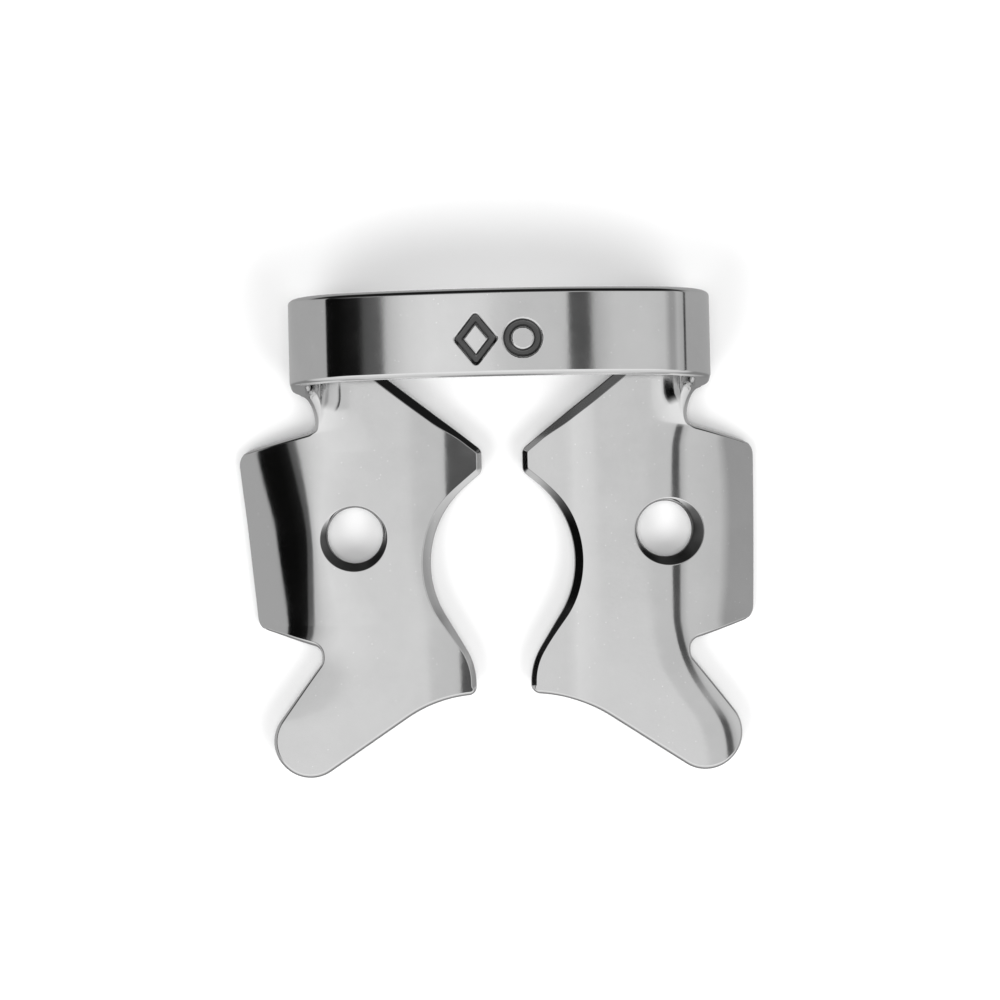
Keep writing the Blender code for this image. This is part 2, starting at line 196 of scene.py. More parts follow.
# Camera: it looks straight down on the jaws
VIEW_WIDTH = 0.04545        # width of the picture at the jaws
VIEW_DISTANCE = 0.400       # from the camera to the middle of the jaws' sheet
VIEW_X = -0.000126          # what the middle of the picture shows, from the clamp's own middle
VIEW_Y = 0.001458
VIEW_ROLL = math.radians(-1.3)
SENSOR = 36.0
CAMERA_NEAR = 0.01          # it sees nothing closer than this

# Steel. The scales of its patterns are in repeats for each metre.
HAZE_SCALE = 420.0
HAZE_DETAIL = 4.0
HAZE_ROUGHNESS = 0.6
HAZE_RANGE = (0.3, 0.7)     # of the pattern, over which tone and roughness run
STEEL_TONE = (0.74, 0.79)
STEEL_ROUGHNESS = (0.055, 0.105)
SPECK_SCALE = 2600.0
SPECK_REACH = (0.03, 0.10)  # a speck fades out between these distances from its middle
SPECK_LIGHT = 0.16          # how much lighter its middle is
PAINTED_SHADE_TONE = 0.16           # share of the tone that is left where painted shade darkens the steel, in the holes' walls and the mark
DULL_ROUGHNESS = 0.25       # roughness added there
GRAIN_SCALE = 5200.0
GRAIN_DETAIL = 3.0
GRAIN_STRENGTH = 0.12
GRAIN_DEPTH = 0.0000032

# Floor and backdrop
FLOOR_RADIUS = 1.0
FLOOR_SIDES = 96
FLOOR_TONE = (0.86, 0.90)
FLOOR_ROUGHNESS = 0.9
FLOOR_SPECULAR = 0.1
FLOOR_NOISE_SCALE = 60.0
FLOOR_NOISE_DETAIL = 3.0
BACKDROP_RADIUS = 0.6
BACKDROP_SEGMENTS = 64
BACKDROP_RINGS = 32
BACKDROP_TONE = (0.90, 0.94)
BACKDROP_NOISE_SCALE = 2.0

# Lights from far away: name, tilt, turn, the angle that they span, and strength
SOFT_LIGHTS = [
    ("left_key_light", math.radians(27), math.radians(-50), math.radians(24), 1.1),
    ("right_key_light", math.radians(27), math.radians(50), math.radians(24), 1.1),
    ("top_light", 0, 0, math.radians(12), 0.9),
]


# The forming, with arrays of places along the blank (u) and across it (v)

def strap_arcs():
    """Where the strap's foot, leg, shoulder and crown start along the blank."""
    crown_angle = math.asin((BOW_HALF_WIDTH - SHOULDER_RADIUS) / (CROWN_RADIUS - SHOULDER_RADIUS))
    crown_rise = CROWN_RADIUS * (1 - math.cos(crown_angle))
    shoulder_rise = SHOULDER_RADIUS * math.cos(crown_angle)
    leg_length = BOW_CLEARANCE + SHEET - FOOT_RADIUS - shoulder_rise - crown_rise
    foot = BOW_HALF_WIDTH - FOOT_RADIUS
    leg = foot + FOOT_RADIUS * math.pi / 2
    shoulder = leg + leg_length
    crown = shoulder + SHOULDER_RADIUS * (math.pi / 2 - crown_angle)
    return foot, leg, shoulder, crown, crown + CROWN_RADIUS * crown_angle


FOOT, LEG, SHOULDER, CROWN, BOW_MIDDLE = strap_arcs()


def smooth_step(value, start, stop):
    """0 before start, 1 after stop, smooth between them."""
    t = np.clip((value - start) / (stop - start), 0, 1)
    return t * t * (3 - 2 * t)


def fold_line(v, side):
    """Where the wing's fold starts at the place v, from the middle."""
    swing = FOLD_BOW * (np.abs(v - FOLD_MIDDLE_Y) / FOLD_SPAN) ** FOLD_POWER
    limit = side["fold_swing"]
    held = (swing ** FOLD_POWER + limit ** FOLD_POWER) ** (1 / FOLD_POWER)
    return side["fold_x"] + swing * limit / held


def fold_radius(v, side):
    """Radius of the fold at the place v that brings the wing's outer edge down by its drop."""
    v = np.clip(v, WING_MESIAL_Y, WING_DISTAL_Y)
    along = (v - WING_MESIAL_Y) / (WING_DISTAL_Y - WING_MESIAL_Y)
    edge = side["wing_mesial_x"] + (side["wing_distal_x"] - side["wing_mesial_x"]) * along
    drop = WING_DROP - WING_ARCH * (1 - (2 * along - 1) ** 2)
    sharp_drop = (edge - fold_line(v, side)) * math.tan(WING_ANGLE)
    return (sharp_drop - drop) * math.cos(WING_ANGLE) / (1 - math.cos(WING_ANGLE))


def wing_arcs(v, side):
    """The fold's two arcs: where they start and stop along the blank, and their radii.

    They bring the flat of the wing to where a single arc of the fold's radius would.
    """
    radius = fold_radius(v, side)
    on_wing = np.clip(v, WING_MESIAL_Y, WING_DISTAL_Y)
    swing = side["crease_swing"] * (np.hypot(1, (on_wing - CREASE_Y) / CREASE_TURN) - 1)
    tightness = side["tight_mesial"] + ((side["tight_distal"] - side["tight_mesial"])
                                        * smooth_step(v, WING_MESIAL_Y, 0))
    outer = radius * tightness
    sine, cosine, slope = math.sin(CREASE_LEAN), math.cos(CREASE_LEAN), math.tan(WING_ANGLE)
    outer_drop = (math.sin(WING_ANGLE) - sine) * slope - (cosine - math.cos(WING_ANGLE))
    inner_drop = (swing + radius * (sine - math.tan(WING_ANGLE / 2))) * slope
    inner = (inner_drop + outer * outer_drop) / (1 - cosine)
    start = fold_line(v, side) + swing + (radius - inner) * sine
    crease = start + inner * CREASE_LEAN
    return start, crease, crease + outer * (WING_ANGLE - CREASE_LEAN), inner, outer


def blank_edge(v, edge, side):
    """Distance along the blank of a wing's outer edge, which lies at edge once it is folded."""
    start, crease, unfold, inner, outer = wing_arcs(v, side)
    sine = math.sin(CREASE_LEAN)
    folded = start + inner * sine + outer * (math.sin(WING_ANGLE) - sine)
    return unfold + (edge - folded) / math.cos(WING_ANGLE)


def strap_bend(s):
    """Curvature of the strap at the distance s along the blank."""
    return np.select([s < FOOT, s < LEG, s < SHOULDER, s < CROWN],
                     [0, 1 / FOOT_RADIUS, 0, 1 / SHOULDER_RADIUS], 1 / CROWN_RADIUS)


def bent(u, v, side):
    """Where the blank's middle surface lies once the sheet is formed, with plain arcs."""
    share = smooth_step(v, NECK_MESIAL, NECK_DISTAL)
    folded = 1 - share
    if side["lobe_level"]:
        folded = folded * smooth_step(v, LOBE_LEVEL_Y, LOBE_ROOT_Y)
    fold, crease, unfold, inner, outer = wing_arcs(v, side)
    level = np.ones_like(u)
    starts = [FOOT * level, LEG * level, SHOULDER * level, CROWN * level, fold, crease, unfold]
    stops = np.sort(np.minimum(np.array(starts), u), axis=0)
    dip_start = PRONG_DIP_START + ((side["dip_start"] - PRONG_DIP_START)
                                   * (1 - smooth_step(v, WING_MESIAL_Y, 0)))
    s, x, z, angle = dip_start, dip_start, 0 * level, 0 * level
    for stop in [*stops, u]:
        stop = np.maximum(stop, s)
        length, middle = stop - s, (stop + s) / 2
        wing_bend = np.select([middle < fold, middle < crease, middle < unfold],
                              [0, -1 / inner, -1 / outer], 0)
        turn = (share * strap_bend(middle) + folded * wing_bend) * length
        chord = length * np.sinc(turn / (2 * math.pi))
        x = x + chord * np.cos(angle + turn / 2)
        z = z + chord * np.sin(angle + turn / 2)
        s, angle = stop, angle + turn
    past = np.maximum(dip_start - u, 0)
    dip = np.minimum(past / side["dip_radius"], side["dip_lean"])
    straight = past - dip * side["dip_radius"]
    x = x - side["dip_radius"] * np.sin(dip) - straight * np.cos(dip)
    z = z - side["dip_radius"] * (1 - np.cos(dip)) - straight * np.sin(dip)
    return np.array([x, v + BOW_LEAN * share * np.maximum(z, 0), z])


def middle_surface(u, v, side):
    """The formed middle surface, with its bends eased into each other."""
    steps = np.array([-1, -0.5, 0, 0.5, 1]) * BLEND
    return sum(bent(u + step, v, side) for step in steps) / len(steps)


def placed(u, v, height, side):
    """Points of the sheet at a height above its middle surface."""
    along = middle_surface(u + PROBE, v, side) - middle_surface(u - PROBE, v, side)
    across = middle_surface(u, v + PROBE, side) - middle_surface(u, v - PROBE, side)
    facing = np.cross(along, across, axis=0)
    return middle_surface(u, v, side) + height * facing / np.linalg.norm(facing, axis=0)


def formed(flat, facing):
    """Points of the flat blank and the way its surface faces there, once the sheet is formed.

    The blank runs from the right jaw, u = 0, through the middle of the bow to the left jaw.
    """
    points, normals = np.empty_like(flat), np.empty_like(facing)
    for side in SIDES.values():
        mine = (flat[:, 0] <= BOW_MIDDLE) == (side["turn"] > 0)
        u, v, height = flat[mine].T
        nu, nv, nh = facing[mine].T
        if side["turn"] < 0:
            u, nu = 2 * BOW_MIDDLE - u, -nu
        along = placed(u + PROBE, v, height, side) - placed(u - PROBE, v, height, side)
        across = placed(u, v + PROBE, height, side) - placed(u, v - PROBE, height, side)
        upward = placed(u, v, height + PROBE, side) - placed(u, v, height - PROBE, side)
        normal = (nu * np.cross(across, upward, axis=0) + nv * np.cross(upward, along, axis=0)
                  + nh * np.cross(along, across, axis=0))
        turn = np.array([side["turn"], 1, 1])
        points[mine] = placed(u, v, height, side).T * turn
        normals[mine] = (normal / np.linalg.norm(normal, axis=0)).T * turn
    return points, normals


# The blank

def lobe_corners():
    """Two corners around the round end of the anterior wing, square to its diagonal."""
    reach = LOBE_RADIUS * math.tan(LOBE_SWEEP / 2)
    away = Vector((math.cos(LOBE_FACING), math.sin(LOBE_FACING)))
    along = Vector((-away.y, away.x))
    tip = Vector((LOBE_X, LOBE_Y)) + LOBE_RADIUS * away
    return tip - reach * along, tip + reach * along


def half_corners(side):
    """Corners of one half's blank, from the strap round the jaw, as (u, v, rounding)."""
    half_end = DISTAL_PRONG_END / 2
    strap_distal = STRAP_MESIAL + STRAP_WIDTH
    lobe_low, lobe_high = lobe_corners()
    wing_mesial = blank_edge(WING_MESIAL_Y, side["wing_mesial_x"], side)
    wing_distal = blank_edge(WING_DISTAL_Y, side["wing_distal_x"], side)
    return [
        (STRAP_ROOT_X, strap_distal, STRAP_ROOT_RADIUS),
        (DISTAL_PRONG_X, DISTAL_PRONG_Y + half_end, PRONG_CORNER),
        (DISTAL_PRONG_X, DISTAL_PRONG_Y - half_end, PRONG_CORNER),
        (BITE_X, BITE_Y, BITE_RADIUS),
        (side["mesial_prong_x"], BITE_END_Y, BITE_END_RADIUS),
        (side["mesial_prong_x"], MESIAL_PRONG_Y, PRONG_CORNER),
        (JAW_EDGE_X, JAW_EDGE_Y, JAW_EDGE_RADIUS),
        (lobe_low.x, lobe_low.y, LOBE_RADIUS),
        (lobe_high.x, lobe_high.y, LOBE_RADIUS),
        (MESIAL_NOTCH_X, MESIAL_NOTCH_Y - MESIAL_NOTCH_LENGTH, NOTCH_RADIUS),
        (MESIAL_NOTCH_X, MESIAL_NOTCH_Y, NOTCH_RADIUS),
        (wing_mesial, WING_MESIAL_Y, WING_CORNER),
        (wing_distal, WING_DISTAL_Y, WING_CORNER),
        (DISTAL_NOTCH_X, DISTAL_NOTCH_Y, NOTCH_RADIUS),
        (DISTAL_NOTCH_X, STRAP_MESIAL, DISTAL_NOTCH_RADIUS),
        (CROWN, STRAP_MESIAL + STRAP_TRIM, STRAP_TRIM_RADIUS),
    ]


def blank_corners():
    """Corners of the whole blank, anticlockwise."""
    left = [(2 * BOW_MIDDLE - u, v, radius) for u, v, radius in half_corners(SIDES["left"])]
    return half_corners(SIDES["right"]) + left[::-1]


def rounded(outline):
    """Points of a closed outline with its corners rounded, each as far as its sides allow."""
    places = [Vector(corner[:2]) for corner in outline]
    count = len(outline)
    reaches, halves = [], []
    for i, place in enumerate(places):
        back, ahead = places[i - 1] - place, places[(i + 1) % count] - place
        halves.append(back.angle(ahead) / 2)
        reaches.append(outline[i][2] / math.tan(halves[i]))
    room = [1] * count
    for i, place in enumerate(places):
        after = (i + 1) % count
        needed = reaches[i] + reaches[after]
        fit = min(1, FILLET_SHARE * (places[after] - place).length / needed)
        room[i], room[after] = min(room[i], fit), min(room[after], fit)
    points = []
    for i, place in enumerate(places):
        reach = reaches[i] * room[i]
        back = (places[i - 1] - place).normalized()
        ahead = (places[(i + 1) % count] - place).normalized()
        radius = reach * math.tan(halves[i])
        centre = place + (back + ahead).normalized() * radius / math.sin(halves[i])
        sweep = math.pi - 2 * halves[i]
        steps = max(2, math.ceil(sweep / ARC_STEP), math.ceil(sweep * radius / CHORD))
        first = place + back * reach - centre
        turn = math.copysign(sweep, -back.cross(ahead))
        for k in range(steps + 1):
            angle = turn * k / steps
            spun = Vector((first.x * math.cos(angle) - first.y * math.sin(angle),
                           first.x * math.sin(angle) + first.y * math.cos(angle)))
            points.append(centre + spun)
    return points


def divided(points):
    """A closed loop as an array, with each of its sides cut into steps no longer than CHORD."""
    fine = []
    for here, after in zip(points, points[1:] + points[:1]):
        steps = max(1, math.ceil((after - here).length / CHORD))
        fine += [here.lerp(after, k / steps) for k in range(steps)]
    return np.array(fine)


def hole_loop(side):
    """A forceps hole, clockwise, so that the sheet is on its left as it is on the outline's."""
    centre = Vector((side["hole_x"], side["hole_y"]))
    if side["turn"] < 0:
        centre.x = 2 * BOW_MIDDLE - centre.x
    steps = math.ceil(2 * math.pi / ARC_STEP)
    turns = [-2 * math.pi * k / steps for k in range(steps)]
    return np.array([centre + HOLE_DIAMETER / 2 * Vector((math.cos(turn), math.sin(turn)))
                     for turn in turns])


def inward(loop):
    """The way into the sheet from each point of a loop."""
    ahead = np.roll(loop, -1, axis=0) - loop
    ahead /= np.linalg.norm(ahead, axis=1, keepdims=True)
    along = ahead + np.roll(ahead, 1, axis=0)
    along /= np.linalg.norm(along, axis=1, keepdims=True)
    return np.stack([-along[:, 1], along[:, 0]], axis=1)


def outline_edge(loop):
    """The outline's edge: how far it runs in from each point, how much of it is bevelled, and
    the bevel's lean.
    """
    out = np.minimum(loop[:, 0], 2 * BOW_MIDDLE - loop[:, 0])
    on_strap = smooth_step(loop[:, 1], DISTAL_NOTCH_Y, STRAP_MESIAL) * smooth_step(out, FOOT, LEG)
    on_prong = 1 - smooth_step(out, PRONG_EDGE_FROM, PRONG_EDGE_TO)
    to_middle = inward(loop)[:, 0] * np.where(loop[:, 0] < BOW_MIDDLE, 1, -1)
    bevelled = smooth_step(to_middle, BEVEL_FROM, BEVEL_TO)
    bevelled *= smooth_step(loop[:, 1], MESIAL_PRONG_Y, MESIAL_PRONG_Y + PRONG_CORNER)
    plain = EDGE_ROUND + (STRAP_EDGE_ROUND - EDGE_ROUND) * on_strap
    bevel = BEVEL_WIDTH + (PRONG_EDGE_ROUND - BEVEL_WIDTH) * on_prong
    right_lean, left_lean = SIDES["right"]["bevel_lean"], SIDES["left"]["bevel_lean"]
    lean = np.where(loop[:, 0] < BOW_MIDDLE, right_lean, left_lean)
    return plain + (bevel - plain) * bevelled, bevelled, lean


def hole_edge(loop, side):
    """The same for a forceps hole, which is bevelled on one side only."""
    out = loop - loop.mean(axis=0)
    facing = np.arctan2(out[:, 1], out[:, 0] * side["turn"])
    bevelled = (1 + np.cos(facing - side["hole_rim_facing"])) / 2
    width = HOLE_RIM_THIN + (side["hole_rim"] - HOLE_RIM_THIN) * bevelled
    return width, bevelled, np.full(len(loop), side["hole_rim_lean"])


def inside(points, loops):
    """Which points lie in the sheet, counting the sides that a ray from each one crosses."""
    crossings = np.zeros(len(points), dtype=int)
    for loop in loops:
        for (x0, y0), (x1, y1) in zip(loop, np.roll(loop, -1, axis=0)):
            if y0 == y1:
                continue
            spans = (points[:, 1] < y0) != (points[:, 1] < y1)
            crossings += spans & (points[:, 0] < x0 + (points[:, 1] - y0) * (x1 - x0) / (y1 - y0))
    return crossings % 2 == 1


def spread(start, stop, step):
    """Evenly spaced places from start to stop, at most a step apart."""
    return list(np.linspace(start, stop, max(1, math.ceil((stop - start) / step)) + 1))


def grid_points(loops, patch):
    """Points inside the loops on a grid that is closer in the bends and closest in the patch."""
    half = (spread(0, FOOT, GRID)[:-1] + spread(FOOT, LEG, BEND_GRID)[:-1]
            + spread(LEG, SHOULDER, GRID)[:-1] + spread(SHOULDER, CROWN, BEND_GRID)[:-1]
            + spread(CROWN, BOW_MIDDLE, GRID))
    columns = half + [2 * BOW_MIDDLE - u for u in half[-2::-1]]
    low = min(loop[:, 1].min() for loop in loops)
    high = max(loop[:, 1].max() for loop in loops)
    u, v = [axis.ravel() for axis in np.meshgrid(columns, spread(low, high, GRID))]
    if patch:
        size_u, size_v = patch
        outside = (abs(u - BOW_MIDDLE) > size_u / 2 + GRID / 2)
        outside |= abs(v - MARK_Y) > size_v / 2 + GRID / 2
        fine = np.meshgrid(spread(BOW_MIDDLE - size_u / 2, BOW_MIDDLE + size_u / 2, MARK_GRID),
                           spread(MARK_Y - size_v / 2, MARK_Y + size_v / 2, MARK_GRID))
        u = np.concatenate([u[outside], fine[0].ravel()])
        v = np.concatenate([v[outside], fine[1].ravel()])
    points = np.stack([u, v], axis=1)
    points = points[inside(points, loops)]
    border = np.concatenate(loops)
    tree = KDTree(len(border))
    for i, (x, y) in enumerate(border):
        tree.insert((x, y, 0), i)
    tree.balance()
    clear = [tree.find((x, y, 0))[2] > CHORD * BORDER_SHARE for x, y in points]
    return points[clear]


def filled(loops, patch=None):
    """Triangles between the loops, as (points, triangles), the loops' points first."""
    points = np.concatenate([*loops, grid_points(loops, patch)])
    sides, start = [], 0
    for loop in loops:
        count = len(loop)
        sides += [(start + i, start + (i + 1) % count) for i in range(count)]
        start += count
    scaled = [Vector(point) for point in points * FILL_SCALE]
    found = delaunay_2d_cdt(scaled, sides, [], 0, FILL_MERGE, False)
    assert len(found[0]) == len(points), "the loops touch themselves or each other"
    triangles = np.array(found[2])
    return points, triangles[inside(points[triangles].mean(axis=1), loops)]


# The mark

def to_line(points, start, stop):
    """Distance from each point to a straight stroke."""
    start, stop = np.array(start), np.array(stop)
    along = stop - start
    share = np.clip((points - start) @ along / (along @ along), 0, 1)
    return np.linalg.norm(points - start - share[:, None] * along, axis=1)


def mark_depth(points):
    """How deep the mark is stamped at places of the blank."""
    here = points - np.array([BOW_MIDDLE, MARK_Y])
    shift = np.array([MARK_SPACING / 2, 0])
    ring = abs(np.linalg.norm(here + shift, axis=1) - RING_DIAMETER / 2)
    wide, high = RHOMBUS_WIDTH / 2, RHOMBUS_HEIGHT / 2
    tips = [(wide, 0), (0, high), (-wide, 0), (0, -high)]
    strokes = [to_line(here - shift, tip, after) for tip, after in zip(tips, tips[1:] + tips[:1])]
    off = np.min([ring, *strokes], axis=0)
    return MARK_DEPTH * (1 - smooth_step(off, MARK_STROKE * MARK_FLOOR / 2, MARK_STROKE / 2))


# The clamp's mesh

class Sheet:
    """Collects the flat blank's points, the way they face, how dull the steel is there and how much
    painted shade darkens it, and the faces between them.
    """

    def __init__(self):
        self.points, self.facing, self.dull, self.faces, self.count = [], [], [], [], 0

    def add(self, points, facing, dull):
        """Add points and return their numbers."""
        self.points.append(points)
        self.dull.append(dull)
        self.facing.append(facing / np.linalg.norm(facing, axis=1, keepdims=True))
        self.count += len(points)
        return np.arange(self.count - len(points), self.count)

    def bridge(self, low, high, up):
        """Join two loops of the same length by four-sided faces."""
        for i in range(len(low)):
            face = [low[i - 1], low[i], high[i], high[i - 1]]
            self.faces.append(face if up else face[::-1])


def bevel_ring(ring, lean):
    """One ring of a bevelled edge of full width: its inset, its height and how far it leans.

    The edge stands upright, rounds over into the bevel, and that rounds over into the face.
    """
    half = SHEET / 2
    if ring == 0:
        return 0 * lean, 0 * lean, 0 * lean + math.pi / 2
    if ring > OUTER_STEPS + 1:
        turn = lean * (RINGS - ring) / INNER_STEPS
        return (BEVEL_WIDTH - BEVEL_INNER_ROUND * np.sin(turn),
                half - BEVEL_INNER_ROUND * (1 - np.cos(turn)), turn)
    turn = math.pi / 2 + (lean - math.pi / 2) * (ring - 1) / OUTER_STEPS
    flat = BEVEL_WIDTH - BEVEL_INNER_ROUND * np.sin(lean) - BEVEL_OUTER_ROUND * (1 - np.sin(lean))
    drop = (BEVEL_INNER_ROUND * (1 - np.cos(lean)) + flat * np.tan(lean)
            + BEVEL_OUTER_ROUND * (np.cos(lean) - np.cos(turn)))
    return BEVEL_OUTER_ROUND * (1 - np.sin(turn)), half - drop, turn


def ring_points(loop, way_in, edge, ring, up):
    """One ring of an edge and the way it faces: part quarter of an ellipse, part bevel."""
    width, bevelled, lean = edge
    half = SHEET / 2
    angle = math.pi / 2 * ring / RINGS
    inset, height, turn = bevel_ring(ring, lean)
    plain = np.stack([half * math.cos(angle) + 0 * width, width * math.sin(angle)])
    plain, bevel = plain / np.linalg.norm(plain, axis=0), np.stack([np.sin(turn), np.cos(turn)])
    out, up_share = plain + (bevel - plain) * bevelled
    scale = width / BEVEL_WIDTH
    if ring > 0:
        height = half - (half - height) * scale
    inset = width * (1 - math.cos(angle)) * (1 - bevelled) + scale * inset * bevelled
    height = half * math.sin(angle) * (1 - bevelled) + height * bevelled
    sign = 1 if up else -1
    points = np.column_stack([loop + way_in * inset[:, None], sign * height])
    return points, np.column_stack([-way_in * out[:, None], sign * up_share])


def edge_rings(sheet, loop, edge, dull):
    """Add the rings of one edge. Returns the numbers of the innermost upper and lower ones."""
    way_in = inward(loop)
    middle = sheet.add(*ring_points(loop, way_in, edge, 0, True), dull)
    innermost = []
    for up in (True, False):
        outer = middle
        for ring in range(1, RINGS + 1):
            points, facing = ring_points(loop, way_in, edge, ring, up)
            inner = sheet.add(points, facing, dull * (ring < RINGS - 1))
            sheet.bridge(outer, inner, up)
            outer = inner
        innermost.append(outer)
    return innermost


def skin(sheet, loops, borders, up):
    """Add the level part of the upper or the lower skin, inside the rounded edges."""
    points, triangles = filled(loops, None if up else MARK_PATCH)
    border_count = sum(len(border) for border in borders)
    inner = points[border_count:]
    half = SHEET / 2
    if up:
        facing = np.tile([0.0, 0.0, 1.0], (len(inner), 1))
        height = np.full(len(inner), half)
        dull = np.zeros(len(inner))
    else:
        depth = mark_depth(inner)
        slope_u, slope_v = [(mark_depth(inner + step) - mark_depth(inner - step)) / (2 * PROBE)
                            for step in (np.array([PROBE, 0]), np.array([0, PROBE]))]
        facing = np.column_stack([slope_u, slope_v, -np.ones(len(inner))])
        height = depth - half
        # The mark's recess is dull and its tone is darkened by painted shade, by its depth.
        dull = depth / MARK_DEPTH
    numbers = np.concatenate([*borders, sheet.add(np.column_stack([inner, height]), facing, dull)])
    for triangle in numbers[triangles]:
        sheet.faces.append(list(triangle) if up else list(triangle[::-1]))


def clamp_sheet():
    """The whole blank, flat."""
    sheet = Sheet()
    outline = divided(rounded(blank_corners()))
    edges = [(outline, outline_edge(outline), np.zeros(len(outline)))]
    for side in SIDES.values():
        loop = hole_loop(side)
        edge = hole_edge(loop, side)
        # The bevelled side of each hole's wall is dull and its tone is darkened by painted shade.
        edges.append((loop, edge, smooth_step(edge[1], DULL_AND_SHADE_FROM, DULL_AND_SHADE_TO)))
    borders = [edge_rings(sheet, *edge) for edge in edges]
    loops = [loop + inward(loop) * width[:, None] for loop, (width, *rest), dull in edges]
    skin(sheet, loops, [upper for upper, lower in borders], True)
    skin(sheet, loops, [lower for upper, lower in borders], False)
    return sheet


def in_frame(points):
    """Move the formed points to where the solid clamp stands. Also returns the move."""
    low, high = (np.array(corner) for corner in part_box("clamp"))
    move = (low + high) / 2 - (points.min(axis=0) + points.max(axis=0)) / 2
    move[2] = high[2] - points[:, 2].max()
    return points + move, move


def clamp_object():
    """The finely meshed clamp, which stands for the solid one."""
    sheet = clamp_sheet()
    flat = np.concatenate(sheet.points)
    points, normals = formed(flat, np.concatenate(sheet.facing))
    points, move = in_frame(points)
    mesh = bpy.data.meshes.new("clamp_surface")
    mesh.from_pydata(points.tolist(), [], sheet.faces)
    mesh.shade_smooth()
    mesh.normals_split_custom_set_from_vertices(normals.tolist())
    # This attribute marks where the steel is dull and where its tone is darkened by painted shade.
    dull = mesh.attributes.new("dull", "FLOAT", "POINT")
    dull.data.foreach_set("value", np.concatenate(sheet.dull))
    piece = bpy.data.objects.new("clamp_surface", mesh)
    bpy.context.scene.collection.objects.link(piece)
    return piece, move


# Materials

def node(tree, kind, values=None, **settings):
    """Add a node, with its settings and the values of its unlinked inputs."""
    made = tree.nodes.new(kind)
    for name, value in settings.items():
        setattr(made, name, value)
    for name, value in (values or {}).items():
        made.inputs[name].default_value = value
    return made


def ranges(source, target):
    """Values of a Map Range node that takes one range to another."""
    return {"From Min": source[0], "From Max": source[1],
            "To Min": target[0], "To Max": target[1]}


def polished_steel():
    """Mirror-polished spring steel with faint haze, specks and grain, dull in the mark and holes,
    where its tone is darkened by painted shade.
    """
    material = bpy.data.materials.new("polished_steel")
    material.use_nodes = True
    tree = material.node_tree
    shader = tree.nodes["Principled BSDF"]
    shader.inputs["Metallic"].default_value = 1
    link = tree.links.new
    place = node(tree, "ShaderNodeTexCoord").outputs["Object"]

    haze = node(tree, "ShaderNodeTexNoise",
                {"Scale": HAZE_SCALE, "Detail": HAZE_DETAIL, "Roughness": HAZE_ROUGHNESS})
    link(place, haze.inputs["Vector"])
    specks = node(tree, "ShaderNodeTexVoronoi", {"Scale": SPECK_SCALE})
    link(place, specks.inputs["Vector"])
    speck = node(tree, "ShaderNodeMapRange", ranges(SPECK_REACH, (1.0, 0.0)))
    link(specks.outputs["Distance"], speck.inputs["Value"])

    dull_and_shade_attribute = node(tree, "ShaderNodeAttribute", attribute_name="dull")

    tone = node(tree, "ShaderNodeMapRange", ranges(HAZE_RANGE, STEEL_TONE))
    link(haze.outputs["Fac"], tone.inputs["Value"])
    # Painted shade: the steel's tone is darkened where the attribute is set, in the holes' walls and
    # the mark's recess.
    painted_shade_factor = node(tree, "ShaderNodeMapRange", ranges((0.0, 1.0), (1.0, PAINTED_SHADE_TONE)))
    link(dull_and_shade_attribute.outputs["Fac"], painted_shade_factor.inputs["Value"])
    grey = node(tree, "ShaderNodeMath", operation="MULTIPLY")
    light = node(tree, "ShaderNodeMath", {1: SPECK_LIGHT}, operation="MULTIPLY_ADD")
    link(speck.outputs["Result"], light.inputs[0])
    link(tone.outputs["Result"], light.inputs[2])
    link(light.outputs["Value"], grey.inputs[0])
    link(painted_shade_factor.outputs["Result"], grey.inputs[1])
    link(grey.outputs["Value"], shader.inputs["Base Color"])

    polish = node(tree, "ShaderNodeMapRange", ranges(HAZE_RANGE, STEEL_ROUGHNESS))
    link(haze.outputs["Fac"], polish.inputs["Value"])
    rough = node(tree, "ShaderNodeMath", {1: DULL_ROUGHNESS}, operation="MULTIPLY_ADD")
    link(dull_and_shade_attribute.outputs["Fac"], rough.inputs[0])
    link(polish.outputs["Result"], rough.inputs[2])
    link(rough.outputs["Value"], shader.inputs["Roughness"])

    grain = node(tree, "ShaderNodeTexNoise", {"Scale": GRAIN_SCALE, "Detail": GRAIN_DETAIL})
    link(place, grain.inputs["Vector"])
    bump = node(tree, "ShaderNodeBump", {"Strength": GRAIN_STRENGTH, "Distance": GRAIN_DEPTH})
    link(grain.outputs["Fac"], bump.inputs["Height"])
    link(bump.outputs["Normal"], shader.inputs["Normal"])
    return material


def floor_material():
    """Matt white, with a trace of unevenness."""
    material = bpy.data.materials.new("white_floor")
    material.use_nodes = True
    tree = material.node_tree
    shader = tree.nodes["Principled BSDF"]
    shader.inputs["Roughness"].default_value = FLOOR_ROUGHNESS
    shader.inputs["Specular IOR Level"].default_value = FLOOR_SPECULAR
    noise = node(tree, "ShaderNodeTexNoise",
                 {"Scale": FLOOR_NOISE_SCALE, "Detail": FLOOR_NOISE_DETAIL})
    tree.links.new(node(tree, "ShaderNodeTexCoord").outputs["Object"], noise.inputs["Vector"])
    tone = node(tree, "ShaderNodeMapRange", ranges((0.0, 1.0), FLOOR_TONE))
    tree.links.new(noise.outputs["Fac"], tone.inputs["Value"])
    tree.links.new(tone.outputs["Result"], shader.inputs["Base Color"])
    return material


# The studio

